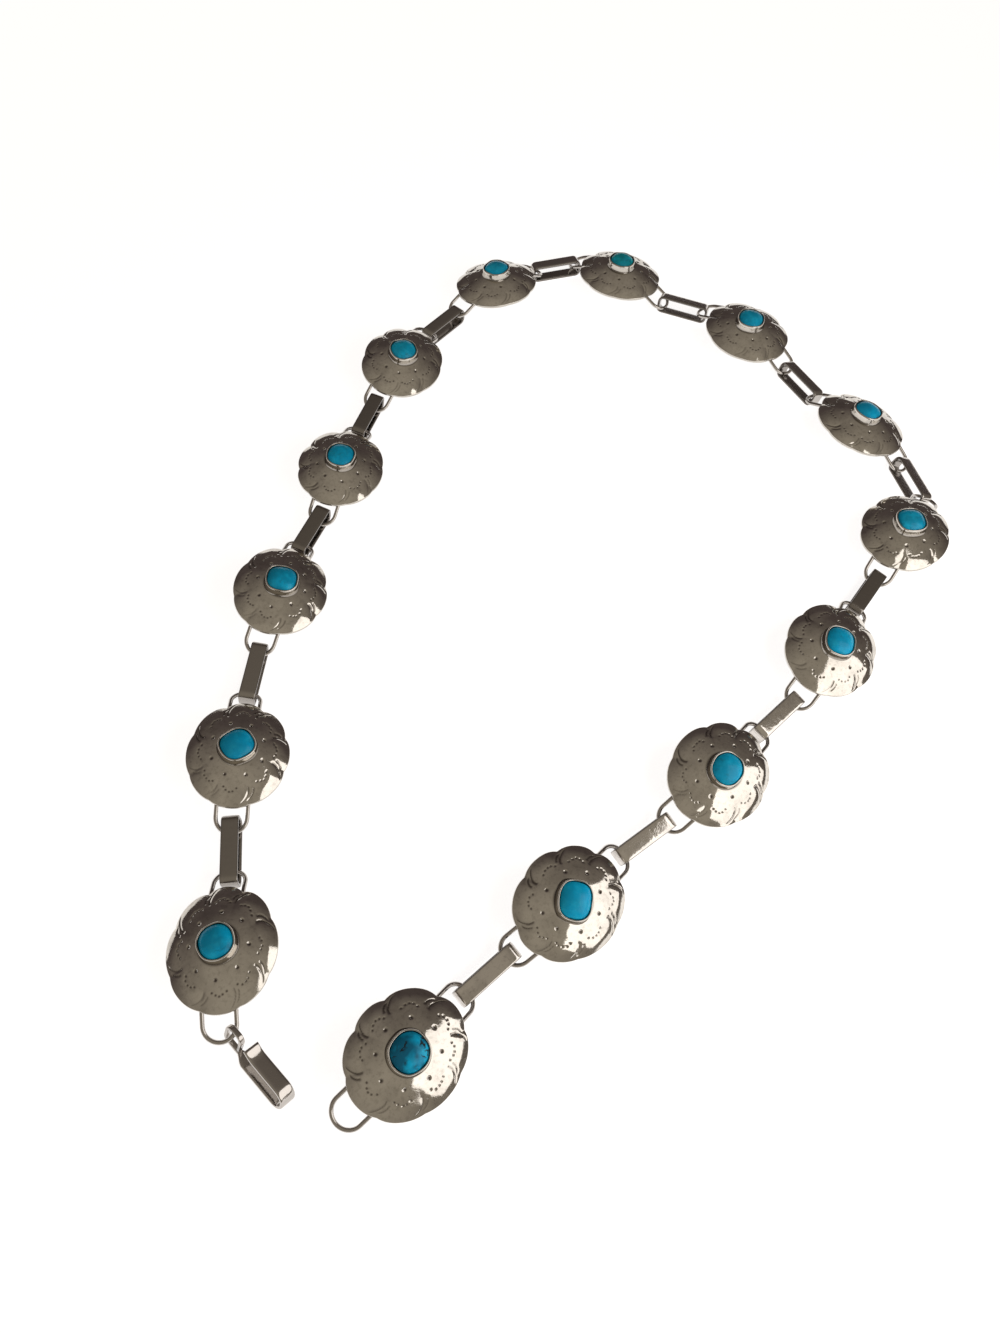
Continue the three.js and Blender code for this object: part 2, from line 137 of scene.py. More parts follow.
# Link and hook
# Both are flat strip. The powers of its corners, across and through, soften its edges.
STRIP_CORNERS = (0.3, 0.45)
STRIP_SIDES = 28
LINK_LENGTH = 19.5
LINK_HEIGHT = 4.7
LINK_STRIP = 5.2
LINK_WALL = 1.1
LINK_CORNER = 1.2
LINK_BEND_STEPS = 9
LINK_RUN_STEPS = 22
HOOK_LENGTH = 25
HOOK_HEIGHT = 5.4
HOOK_STRIP = 4.6
HOOK_EYE_STRIP = 1.6
HOOK_EYE_LENGTH = 4.4
HOOK_WALL = 1.1
HOOK_MOUTH = 2.6
HOOK_FLARE = 1.2
HOOK_FLARE_LENGTH = 2.6
HOOK_CORNER = 1.75
FLARE_STEPS = 3
TONGUE_STEPS = 12
FOLD_STEPS = 21
BACK_STEPS = 18
EYE_BEND_STEPS = 8
EYE_TOP_STEPS = 2

# Heading, roll and pitch of each concho in degrees, as in the CAD model
CONCHO_LAY = [
    (98, -3, 2), (95, 8, 1), (81, 12, 2), (79, 6, 0), (67, 9, -2), (44, -5, 2), (-32, -3, -1),
    (-43, 1, 1), (-46, -7, 1), (-122, 2, 1), (-122, -9, 2), (-133, -13, 2), (-135, -14, 0), (-131, -11, -3),
]

# Heading and roll of each link, and of the hook, in degrees
LINK_LAY = [
    (100, 0), (88, 8), (72, 7), (75, 7), (54, 1), (20, -6), (-17, -17),
    (-57, -17), (-72, -23), (-124, -6), (-134, -10), (-140, -12), (-135, -11),
]
HOOK_LAY = (139, 24)

# Darkening of the silver: tarnish, with painted shade and painted sheen mixed in
# From 0 (bright) to 1: the least on each link, with painted sheen and shade, on wire and on the hook, then
# on the strips' faces, edges and insides, painted shade on edges and insides, on the plates round the bezel,
# a painted shade ring with patina, at the rim and underneath, and along the bezel's profile, painted shade
# at its foot and inside the cup.
# Tarnish per link, with painted sheen and shade for how light falls: links 11 to 13 are painted bright.
LINK_TARNISH_AND_PAINTED_LIGHT = (0.6, 0.55, 0.68, 0.7, 0.55, 0.25, 0.3, 0.3, 0.3, 0.7, 0.05, 0, 0)
RING_TARNISH = 0.4
HOOK_TARNISH = 0.35
FACE_DIRT = 0.08
# Strips' edges and the inside of each loop: tarnish with painted shade.
EDGE_TARNISH_AND_SHADE = 0.72
EDGE_DARK_FROM = 0.86
EDGE_DARK_FADE = 0.1
INSIDE_TARNISH_AND_SHADE = 0.6
HOOK_TARNISH_AND_SHADE_SHARE = 0.5
# Painted shade, with some patina, in a ring round the bezel's foot on the plate.
BEZEL_RING_PATINA_AND_SHADE = 0.8
BEZEL_RING_WIDTH = 0.5
# Darker at the rim and underneath.
RIM_DARKENING = 0.15
UNDERSIDE_DARKENING = 0.5
# Patina along the bezel's profile, with painted shade at its foot and inside the cup.
BEZEL_PATINA_AND_SHADE = (1, 0.8, 0.5, 0.25, 0.1, 0.05, 0, 0, 0.3, 0.8, 1, 1)

# Outline and look of each cabochon
# Shares of the diameter along and across, squareness, turn in degrees and share of the crown, then
# greenness, darkness and amount of matrix, each from 0 to 1.
STONE_CUTS = [
    (1.0, 0.98, 2.2, 20, 1.0, 0.15, 0.35, 0.25),
    (0.98, 1.02, 2.5, 35, 0.9, 0.1, 0.3, 0.15),
    (0.96, 1.0, 2.6, 10, 1.0, 0.2, 0.4, 0.3),
    (1.02, 0.96, 2.3, 0, 0.9, 0.15, 0.3, 0.2),
    (0.98, 1.0, 2.2, 50, 1.1, 0.3, 0.35, 0.3),
    (1.02, 0.96, 2.4, 15, 1.0, 0.2, 0.25, 0.2),
    (1.0, 0.94, 2.2, 0, 1.2, 0.9, 0.45, 0.35),
    (1.0, 1.0, 2.3, 30, 1.0, 0.2, 0.3, 0.15),
    (1.0, 0.94, 2.4, 0, 0.9, 0.1, 0.35, 0.2),
    (0.98, 0.98, 2.6, 40, 1.1, 0.25, 0.4, 0.3),
    (1.02, 0.96, 2.5, 20, 1.1, 0.15, 0.25, 0.2),
    (1.06, 0.96, 2.2, 10, 1.0, 0.2, 0.3, 0.25),
    (1.1, 0.96, 2.7, 40, 1.1, 0.15, 0.2, 0.15),
    (1.06, 1.04, 2.2, 0, 1.0, 0.2, 0.95, 1.0),
]


def turn(heading, roll, pitch=0):
    """Heading about +Z, then pitch about the piece's own y and roll about its own x, in degrees."""
    cos_z, cos_x, cos_y = np.cos(np.radians([heading, roll, pitch]))
    sin_z, sin_x, sin_y = np.sin(np.radians([heading, roll, pitch]))
    about_z = np.array([[cos_z, -sin_z, 0], [sin_z, cos_z, 0], [0, 0, 1]])
    about_y = np.array([[cos_y, 0, sin_y], [0, 1, 0], [-sin_y, 0, cos_y]])
    about_x = np.array([[1, 0, 0], [0, cos_x, -sin_x], [0, sin_x, cos_x]])
    return about_z @ about_y @ about_x


def levelled_box(node, spin):
    """Lowest and highest corner of a CAD node in its own axes, with its spin taken out, in millimetres."""
    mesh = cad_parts[node].data
    points = np.empty(len(mesh.vertices) * 3)
    mesh.vertices.foreach_get("co", points)
    level = (points.reshape(-1, 3) / MM) @ spin
    return level.min(axis=0), level.max(axis=0)


# Surfaces

def skin(name, rows, material, spin, place, start=None, end=None, loop=False, marks=None):
    """Mesh through rows of points (rows, columns, 3): the columns close on themselves.

    A start or end point closes the first or last row with a fan, and loop joins the last row to the first.
    Marks are values for each point, kept as attributes of the same names.
    """
    rows = np.asarray(rows, dtype=float)
    count, sides = rows.shape[:2]
    index = np.arange(count * sides).reshape(count, sides)
    upper = np.roll(index, -1, axis=0) if loop else index[1:]
    lower = index if loop else index[:-1]
    quads = np.stack([lower, np.roll(lower, -1, axis=1), np.roll(upper, -1, axis=1), upper], axis=-1)
    faces = quads.reshape(-1, 4).tolist()
    points = rows.reshape(-1, 3)
    tips = []
    for tip, row, turned in ((start, index[0], True), (end, index[-1], False)):
        if tip is None:
            continue
        centre = np.full(sides, len(points) + len(tips))
        beside = np.roll(row, -1)
        fan = np.stack([beside, row, centre] if turned else [row, beside, centre], axis=-1)
        faces += fan.tolist()
        tips.append(tip)
    if tips:
        points = np.vstack([points, tips])
    placed = (points @ spin.T + place) * MM
    mesh = bpy.data.meshes.new(name)
    mesh.from_pydata(placed.tolist(), [], faces)
    mesh.polygons.foreach_set("use_smooth", np.ones(len(mesh.polygons), dtype=bool))
    for mark, values in (marks or {}).items():
        on_points = np.concatenate([np.broadcast_to(values, (count, sides)).ravel(), np.zeros(len(tips))])
        if np.ndim(values) == 0:
            on_points[:] = values
        mesh.attributes.new(mark, "FLOAT", "POINT").data.foreach_set("value", on_points)
    mesh.update()
    mesh.materials.append(material)
    piece = bpy.data.objects.new(name, mesh)
    bpy.context.scene.collection.objects.link(piece)
    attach(piece, "root")
    return piece


def swayed(angle, uneven):
    """Angle as the lobes count it: two slow waves push the hand-cut notches to and fro round the rim.

    Uneven holds the phases of these two waves and the side of the plate with the deepest notches.
    """
    slow, quick = np.sin(2 * angle + uneven[0]), np.sin(3 * angle + uneven[1])
    return angle + LOBE_SWAY * (slow + SECOND_SWAY * quick)


def notch_strength(angle, uneven):
    """Share of the notches' usual depth: greatest at one side of the plate and least across from it."""
    return 1 + NOTCH_VARIATION * np.cos(angle - uneven[2])


def lobe_offset(angle, uneven):
    """0 at the middle of a lobe, rising evenly to 1 at the notch beside it."""
    turns = swayed(angle, uneven) * LOBES / (2 * np.pi)
    return 2 * np.abs(turns - np.round(turns))


def underside(share):
    """Height of the dome's hollow side above the rim: it falls from the middle as a power of the share."""
    return DOME_RISE * (1 - share ** DOME_POWER)


def plan(share, angle, uneven):
    """Place on the plate in plan: an ellipse at that share of its radius, drawn in towards each notch."""
    depth = SCALLOP_DEPTH / (CONCHO_WIDTH / 2) * notch_strength(angle, uneven)
    reach = share * (1 - depth * lobe_offset(angle, uneven) ** SCALLOP_POWER * share ** 2)
    return CONCHO_LENGTH / 2 * reach * np.cos(angle), CONCHO_WIDTH / 2 * reach * np.sin(angle)


def band(share, low, high, soft):
    """1 between two shares of the radius, falling smoothly to 0 over the soft distance outside them."""
    outside = np.maximum(low - share, share - high).clip(0)
    return np.exp(-(outside / soft) ** 2)


def grooves(share, angle, x, y, uneven):
    """Two slanted, bowed cuts at each notch, the second one shorter.

    Each is a valley that falls off with the square of the distance from its middle line.
    """
    inward = (GROOVE_OUTER - share) / (GROOVE_OUTER - GROOVE_INNER)
    bow = GROOVE_SLANT * (inward - 0.5) + GROOVE_BOW * 4 * inward * (1 - inward)
    pitch = 2 * np.pi / LOBES
    cuts = np.zeros(np.broadcast(share, angle).shape)
    first = (-0.5, GROOVE_INNER, GROOVE_OUTER)
    second = (0.5, GROOVE_INNER + GROOVE_SHORTER[0], GROOVE_OUTER - GROOVE_SHORTER[1])
    for offset, inner, outer in (first, second):
        line = np.radians(bow + GROOVE_PAIR * offset)
        from_notch = (swayed(angle, uneven) - line) % pitch - pitch / 2
        distance = from_notch * np.hypot(x, y)
        valley = np.exp(-(distance / GROOVE_WIDTH) ** 2) * band(share, inner, outer, GROOVE_FADE)
        cuts = np.maximum(cuts, valley)
    return cuts * notch_strength(angle, uneven).clip(0, 1)


def punched(x, y, share, angle, radius, uneven):
    """Round punch marks at shares of the rim and angles, each fading with the cube of the distance."""
    marks_x, marks_y = plan(share, angle, uneven)
    gap = np.hypot(x[..., None] - marks_x, y[..., None] - marks_y)
    return np.exp(-(gap / radius) ** 3).max(axis=-1)


def hammered(x, y, dice):
    """Low uneven waves: a sum of sines in random directions, their lengths between the two limits."""
    heading, phase = dice.uniform(0, 2 * np.pi, (2, HAMMER_WAVES))
    pace = 2 * np.pi / dice.uniform(*HAMMER_LENGTHS, HAMMER_WAVES)
    along = x[..., None] * np.cos(heading) + y[..., None] * np.sin(heading)
    return np.sin(along * pace + phase).sum(axis=-1) * 2 / HAMMER_WAVES


def plate_top(share, angle, uneven, dice):
    """Height and darkening of the plate's upper face: dome, swollen lobes, stamped work, shade painted round
    the bezel.
    """
    x, y = plan(share, angle, uneven)
    offset = lobe_offset(angle, uneven)
    swell = LOBE_SWELL * (1 - offset ** 2) * np.exp(-((share - SWELL_SHARE) / SWELL_REACH) ** 2)
    cuts = grooves(share, angle, x, y, uneven)
    half_a_lobe = 0.5 * (dice.random() < 0.5)
    ring_angle = 2 * np.pi * (np.arange(LOBES) + half_a_lobe) / LOBES
    ring = punched(x, y, DOT_RING + dice.uniform(-DOT_SHIFT, DOT_SHIFT, LOBES),
                   ring_angle + dice.uniform(-DOT_TURN, DOT_TURN, LOBES), DOT_RADIUS, uneven)
    lobe, step = np.meshgrid(np.arange(LOBES), ARC_DOTS, indexing="ij")
    middle = 2 * np.pi * lobe / LOBES
    arc_angle = 2 * middle - swayed(middle, uneven) + np.radians(ARC_STEP) * step
    arc_angle = arc_angle + dice.uniform(-ARC_TURN, ARC_TURN, lobe.shape)
    arc_share = ARC_SHARE - ARC_SAG * step ** 2 + dice.uniform(-ARC_SHIFT, ARC_SHIFT, lobe.shape)
    arcs = punched(x, y, arc_share.ravel(), arc_angle.ravel(), ARC_DOT_RADIUS, uneven)
    height = underside(share) + PLATE_WALL + swell + HAMMER_DEPTH * hammered(x, y, dice) * share
    height = height - GROOVE_DEPTH * cuts - DOT_DEPTH * ring - ARC_DOT_DEPTH * arcs
    # Painted shade, with some patina, in a ring round the bezel's foot.
    from_bezel = np.hypot(x, y) - FOOT_RADIUS
    bezel_ring_patina_and_shade = BEZEL_RING_PATINA_AND_SHADE * np.exp(-(from_bezel / BEZEL_RING_WIDTH) ** 2)
    patina_and_shade = np.maximum.reduce([cuts, ring, arcs, bezel_ring_patina_and_shade])
    return x, y, height, patina_and_shade


def concho_plate(name, uneven, material, spin, place, dice):
    """Upper face from the middle to the rim, a half-round edge, then the underside back to the middle."""
    angle = np.linspace(0, 2 * np.pi, PLATE_COLUMNS, endpoint=False)[None, :]
    top_share = np.concatenate([INNER_ROWS, np.linspace(FIRST_PLATE_ROW, 1, PLATE_ROWS)])[:, None]
    x, y, z, patina_and_shade = plate_top(top_share, angle, uneven, dice)
    upper = np.stack([x, y, z], axis=-1)
    rim_x, rim_y = plan(1, angle, uneven)
    lip = np.radians(EDGE_TURNS)[:, None]
    out = 1 + EDGE_BULGE / CONCHO_WIDTH * np.sin(lip)
    edge_z = z[-1] / 2 * (1 + np.cos(lip))
    edge = np.stack([rim_x * out, rim_y * out, edge_z], axis=-1)
    low_share = np.array(LOWER_ROWS)[:, None]
    low_x, low_y = plan(low_share, angle, uneven)
    lower = np.stack([low_x, low_y, underside(low_share) + 0 * angle], axis=-1)
    rows = np.concatenate([upper, edge, lower])
    # Darker at the rim and underneath.
    rim_darkening = np.full(edge.shape[:2], RIM_DARKENING)
    underside_darkening = np.full(lower.shape[:2], UNDERSIDE_DARKENING)
    tarnish_and_shade = np.concatenate([patina_and_shade, rim_darkening, underside_darkening])
    middle = np.array([0, 0, DOME_RISE])
    return skin(name, rows[::-1], material, spin, place, start=middle,
                end=middle + [0, 0, PLATE_WALL], marks={"patina_and_shade": tarnish_and_shade[::-1]})


def stone_radius(cut, angle):
    """Radius of a superellipse about the stone's own turned axes, its power the squareness."""
    long_share, cross_share, squareness, heading = cut[:4]
    turned = angle - np.radians(heading)
    along = np.abs(np.cos(turned)) / (long_share * STONE_DIAMETER / 2)
    across = np.abs(np.sin(turned)) / (cross_share * STONE_DIAMETER / 2)
    return (along ** squareness + across ** squareness) ** (-1 / squareness)


BEZEL_OUTSET = FIT_GAP + BEZEL_WALL
FOOT_RADIUS = STONE_DIAMETER / 2 + BEZEL_OUTSET
FOOT_Z = underside(FOOT_RADIUS / (CONCHO_WIDTH / 2)) + PLATE_WALL
LIP_Z = FOOT_Z + BEZEL_HEIGHT
CUP_FLOOR_Z = DOME_RISE + PLATE_WALL


def bezel_cup(name, cut, material, spin, place, dice):
    """Profile of a thin wall, flared at its foot and pressed in at its lip, carried round the stone."""
    outset = np.array(BEZEL_OUT) + BEZEL_OUTSET
    height = np.array(BEZEL_UP) + FOOT_Z
    angle = np.linspace(0, 2 * np.pi, BEZEL_SIDES, endpoint=False)[None, :]
    waves = sum(size * np.sin(count * angle + dice.uniform(0, BEZEL_WAVE_TURN))
                for count, size in BEZEL_WAVES)
    radius = stone_radius(cut, angle) + outset[:, None] + waves
    z = height[:, None] + waves * (height[:, None] > FOOT_Z + BEZEL_WAVY_FROM)
    rows = np.stack([radius * np.cos(angle), radius * np.sin(angle), z + 0 * angle], axis=-1)
    # Patina along the bezel, with painted shade at its foot and inside the cup.
    tarnish_and_shade = np.broadcast_to(np.array(BEZEL_PATINA_AND_SHADE)[:, None], radius.shape)
    return skin(name, rows, material, spin, place, start=[0, 0, FOOT_Z + BEZEL_UP[0]],
                end=[0, 0, CUP_FLOOR_Z + CUP_FLOOR_LIFT], marks={"patina_and_shade": tarnish_and_shade})


def cabochon(name, cut, material, spin, place, dice):
    """Flat back, short upright girdle, then a crown that falls as a rounded power of the radius."""
    crown_share, green, dark, veins = cut[4:]
    girdle = LIP_Z - FIT_GAP
    crown = STONE_CROWN * crown_share + FIT_GAP
    angle = np.linspace(0, 2 * np.pi, STONE_SIDES, endpoint=False)[None, :]
    share = np.concatenate([[1, 1], np.cos(np.linspace(*CROWN_TURNS, CROWN_ROWS))])[:, None]
    z = girdle + crown * (1 - share ** CROWN_POWER) ** CROWN_ROUNDNESS
    z[0] = CUP_FLOOR_Z + FIT_GAP
    z[1] = girdle - GIRDLE_BEVEL
    radius = stone_radius(cut, angle) * share
    x, y = radius * np.cos(angle), radius * np.sin(angle)
    uneven = STONE_UNEVENNESS * hammered(x, y, dice) * (1 - share ** 2)
    rows = np.stack([x, y, z + uneven], axis=-1)
    return skin(name, rows, material, spin, place, start=[0, 0, CUP_FLOOR_Z + FIT_GAP],
                end=[0, 0, girdle + crown + float(uneven[-1].mean())],
                marks={"green": green, "dark": dark, "veins": veins})


def swept(name, path, section, material, spin, place, upright, loop=False, width=1, marks=None):
    """A section (across, thick) carried along a path, its thickness square to the path and to upright."""
    path = np.asarray(path, dtype=float)
    if loop:
        along = np.roll(path, -1, axis=0) - np.roll(path, 1, axis=0)
    else:
        along = np.gradient(path, axis=0)
    along /= np.linalg.norm(along, axis=1, keepdims=True)
    across = np.broadcast_to(np.asarray(upright, dtype=float), path.shape)
    across = across - (across * along).sum(axis=1, keepdims=True) * along
    across /= np.linalg.norm(across, axis=1, keepdims=True)
    thick = np.cross(along, across)
    wide = np.broadcast_to(width, len(path))[:, None, None]
    rows = (path[:, None, :] + across[:, None, :] * section[None, :, :1] * wide
            + thick[:, None, :] * section[None, :, 1:])
    ends = {} if loop else {"start": path[0], "end": path[-1]}
    return skin(name, rows, material, spin, place, loop=loop, marks=marks, **ends)


def round_section(diameter):
    """Circle of a wire, as points (across, thick)."""
    angle = np.linspace(0, 2 * np.pi, WIRE_SIDES, endpoint=False)
    return diameter / 2 * np.stack([np.cos(angle), np.sin(angle)], axis=-1)


def strip_section(width, wall):
    """Flat strip with softened edges: an ellipse whose cosine and sine are raised to powers below 1."""
    angle = np.linspace(0, 2 * np.pi, STRIP_SIDES, endpoint=False) + np.pi / STRIP_SIDES
    cosine, sine = np.cos(angle), np.sin(angle)
    across = width / 2 * np.sign(cosine) * np.abs(cosine) ** STRIP_CORNERS[0]
    thick = wall / 2 * np.sign(sine) * np.abs(sine) ** STRIP_CORNERS[1]
    return np.stack([across, thick], axis=-1)


def edge_tarnish_and_shade(section, width):
    """Darkening of a strip: light tarnish on its broad outer face, strong along both edges and inside the
    loop, tarnish with painted shade.
    """
    edge = ((np.abs(section[:, 0]) / (width / 2) - EDGE_DARK_FROM) / EDGE_DARK_FADE).clip(0, 1)
    inside = (section[:, 1] > 0).astype(float)
    return np.maximum(FACE_DIRT + EDGE_TARNISH_AND_SHADE * edge, INSIDE_TARNISH_AND_SHADE * inside)[None, :]


def arc(centre_x, centre_z, radius, first, last, steps):
    """Points of an arc in the x-z plane, angles in degrees from +x."""
    angle = np.radians(np.linspace(first, last, steps))
    x, z = centre_x + radius * np.cos(angle), centre_z + radius * np.sin(angle)
    return np.stack([x, 0 * angle, z], axis=-1)


def straight(start, end, steps):
    """Points between two ends, both left out."""
    share = np.linspace(0, 1, steps + 2)[1:-1, None]
    return np.asarray(start, dtype=float) * (1 - share) + np.asarray(end, dtype=float) * share


RING_RADIUS = (RING_WIDTH - RING_WIRE) / 2
RING_CENTRE = RING_REACH - RING_WIDTH / 2
RING_ACROSS = RING_RADIUS / (CONCHO_WIDTH / 2)
RING_ROOT = CONCHO_LENGTH / 2 * math.sqrt(1 - RING_ACROSS ** 2)
RING_Z = SOLDER_BITE - RING_WIRE / 2


def half_ring(name, direction, material, spin, place):
    """Legs along the dome's underside, then a half circle in a plane that slopes down past the rim."""
    slope = math.radians(RING_SLOPE)
    leg_x = RING_ROOT - RING_LEG
    leg_z = underside(math.hypot(leg_x / (CONCHO_LENGTH / 2), RING_ACROSS)) + RING_Z
    angle = np.radians(np.linspace(-90, 90, RING_STEPS))
    past = RING_CENTRE + RING_RADIUS * np.cos(angle)
    bend = np.stack([RING_ROOT + past * math.cos(slope), RING_RADIUS * np.sin(angle),
                     RING_Z - past * math.sin(slope)], axis=-1)
    bent_z = leg_z * (1 - LEG_DROP) + RING_Z * LEG_DROP
    leg = np.array([[leg_x, 0, leg_z], [leg_x + RING_LEG * LEG_BEND, 0, bent_z], [RING_ROOT, 0, RING_Z]])
    side = np.array([0, RING_RADIUS, 0])
    path = np.concatenate([leg - side, bend, leg[::-1] + side])
    path[:, :2] *= direction
    return swept(name, path, round_section(RING_WIRE), material, spin, place, upright=(0, 0, 1),
                 marks={"patina_and_shade": RING_TARNISH})


def link_loop(name, tarnish_and_painted_light, material, spin, place):
    """Strip carried round a closed path: two long runs joined by ends with rounded corners."""
    corner = LINK_CORNER + LINK_WALL / 2
    x = LINK_LENGTH / 2 + LINK_WALL / 2 - corner
    z = LINK_HEIGHT / 2 + LINK_WALL / 2 - corner
    path = np.concatenate([
        arc(x, z, corner, 0, 90, LINK_BEND_STEPS),
        straight((x, 0, z + corner), (-x, 0, z + corner), LINK_RUN_STEPS),
        arc(-x, z, corner, 90, 180, LINK_BEND_STEPS),
        arc(-x, -z, corner, 180, 270, LINK_BEND_STEPS),
        straight((-x, 0, -z - corner), (x, 0, -z - corner), LINK_RUN_STEPS),
        arc(x, -z, corner, 270, 360, LINK_BEND_STEPS),
    ])
    section = strip_section(LINK_STRIP, LINK_WALL)
    # The darker of the link's tarnish, with its painted sheen and shade, and the strip's tarnish with
    # painted shade.
    return swept(name, path, section, material, spin, place, upright=(0, 1, 0), loop=True,
                 marks={"patina_and_shade": np.maximum(edge_tarnish_and_shade(section, LINK_STRIP), tarnish_and_painted_light)})


def hook_strip(name, material, spin, place):
    """One strip: flared tip, tongue, round the fold, back along and round into the eye."""
    mid = (HOOK_HEIGHT + HOOK_WALL) / 2
    fold_x = HOOK_LENGTH - HOOK_WALL / 2 - mid
    neck = HOOK_EYE_LENGTH + HOOK_WALL
    tip_x = neck + HOOK_MOUTH
    flare_x = tip_x + HOOK_FLARE_LENGTH
    near_x = HOOK_CORNER - HOOK_WALL / 2
    eye_end = HOOK_EYE_LENGTH + HOOK_WALL / 2
    top_x, top_z = eye_end - HOOK_CORNER, mid - HOOK_CORNER
    path = np.concatenate([
        [(tip_x, 0, mid + HOOK_FLARE)],
        straight((tip_x, 0, mid + HOOK_FLARE), (flare_x, 0, mid), FLARE_STEPS),
        straight((flare_x, 0, mid), (fold_x, 0, mid), TONGUE_STEPS),
        arc(fold_x, 0, mid, 90, -90, FOLD_STEPS),
        straight((fold_x, 0, -mid), (near_x, 0, -mid), BACK_STEPS),
        arc(near_x, -top_z, HOOK_CORNER, 270, 180, EYE_BEND_STEPS),
        arc(near_x, top_z, HOOK_CORNER, 180, 90, EYE_BEND_STEPS),
        straight((HOOK_CORNER, 0, mid), (top_x, 0, mid), EYE_TOP_STEPS),
        arc(top_x, top_z, HOOK_CORNER, 90, 0, EYE_BEND_STEPS),
        [(eye_end, 0, HOOK_WALL - mid)],
    ])
    share = ((path[:, 0] - neck) / HOOK_MOUTH).clip(0, 1)
    width = HOOK_EYE_STRIP + (HOOK_STRIP - HOOK_EYE_STRIP) * share
    path[:, 0] *= -1
    section = strip_section(1, HOOK_WALL)
    # The darker of the hook's tarnish and a share of the strips' tarnish, with painted shade on edges and
    # inside.
    return swept(name, path, section, material, spin, place, upright=(0, 1, 0), width=width,
                 marks={"patina_and_shade": np.maximum(HOOK_TARNISH_AND_SHADE_SHARE * edge_tarnish_and_shade(section, 1), HOOK_TARNISH)})


# Materials
# Noise scales are waves in a metre, and depths of relief are metres.

NOISE_DETAIL = 4
NOISE_ROUGHNESS = 0.55
CLOUD_SCALE = 160
CLOUD_RANGE = (0.42, 0.68)
SPECK_SCALE = 900
SPECK_DETAIL = 6
SPECK_RANGE = (0.5, 0.75)
SPECK_STRENGTH = 0.25
SCRATCH_STRETCH = (700, 3200, 1500)
SCRATCH_TURN = 0.7
SCRATCH_DETAIL = 3
SCRATCH_RANGE = (0.3, 0.7)
SCRATCH_HEIGHT = 0.12
DENT_SCALE = 420
DENT_DETAIL = 3
CLEAN_ROUGHNESS = (0.04, 0.09)
DIRT_ROUGHNESS = 0.16
SILVER_RELIEF = 0.0004

STONE_BLUE = (0.000, 0.440, 0.820)
STONE_GREEN = (0.004, 0.450, 0.500)
STONE_PALE = (0.020, 0.600, 0.910)
STONE_DEEP = (0.003, 0.130, 0.240)
STONE_MATRIX = (0.012, 0.016, 0.016)
SOFT_DETAIL = 2
PALE_SCALE = 330
PALE_RANGE = (0.45, 0.8)
DEEP_SCALE = 210
DEEP_RANGE = (0.36, 0.58)
BEND_SCALE = 420
BEND_REACH = 0.004
CELL_SCALE = 260
VEIN_RANGE = (0.02, 0.09)
PATCH_SCALE = 240
PATCH_RANGE = (0.5, 0.62)
STONE_ROUGHNESS = 0.3
VEIN_ROUGHNESS = 0.45
VEIN_BUMP = 0.25
VEIN_RELIEF = 0.0002
STONE_SPECULAR = 0.16
STONE_COAT = 0.1
COAT_ROUGHNESS = 0.15


def new_node(tree, kind, **settings):
    """New node with these settings."""
    node = tree.nodes.new(kind)
    for key, value in settings.items():
        setattr(node, key, value)
    return node


def noise(tree, vector, scale, detail=NOISE_DETAIL):
    """Cloudy noise from 0 to 1 over a vector."""
    node = new_node(tree, "ShaderNodeTexNoise")
    node.inputs["Scale"].default_value = scale
    node.inputs["Detail"].default_value = detail
    node.inputs["Roughness"].default_value = NOISE_ROUGHNESS
    tree.links.new(vector, node.inputs["Vector"])
    return node.outputs["Fac"]


def spread(tree, value, low, high, out_low=0, out_high=1):
    """Part of a value's range, stretched to a new range and held at its ends."""
    node = new_node(tree, "ShaderNodeMapRange")
    for key, number in zip(("From Min", "From Max", "To Min", "To Max"), (low, high, out_low, out_high)):
        node.inputs[key].default_value = number
    tree.links.new(value, node.inputs["Value"])
    return node.outputs["Result"]


def maths(tree, operation, first, second):
    """One step of arithmetic on numbers or on the outputs of other nodes."""
    node = new_node(tree, "ShaderNodeMath", operation=operation)
    for socket, value in zip(node.inputs, (first, second)):
        if isinstance(value, (int, float)):
            socket.default_value = value
        else:
            tree.links.new(value, socket)
    return node.outputs[0]


def blend_colour(tree, share, first, second):
    """First colour where the share is 0, second where it is 1, an even mix in between."""
    node = new_node(tree, "ShaderNodeMix", data_type="RGBA")
    colours = [socket for socket in node.inputs if socket.type == "RGBA"]
    for socket, value in zip(colours, (first, second)):
        if isinstance(value, tuple):
            socket.default_value = (*value, 1)
        else:
            tree.links.new(value, socket)
    tree.links.new(share, node.inputs[0])
    return [socket for socket in node.outputs if socket.type == "RGBA"][0]


def attribute(tree, name):
    """Mark of that name, as the surface carries it at each point."""
    return new_node(tree, "ShaderNodeAttribute", attribute_name=name).outputs["Fac"]


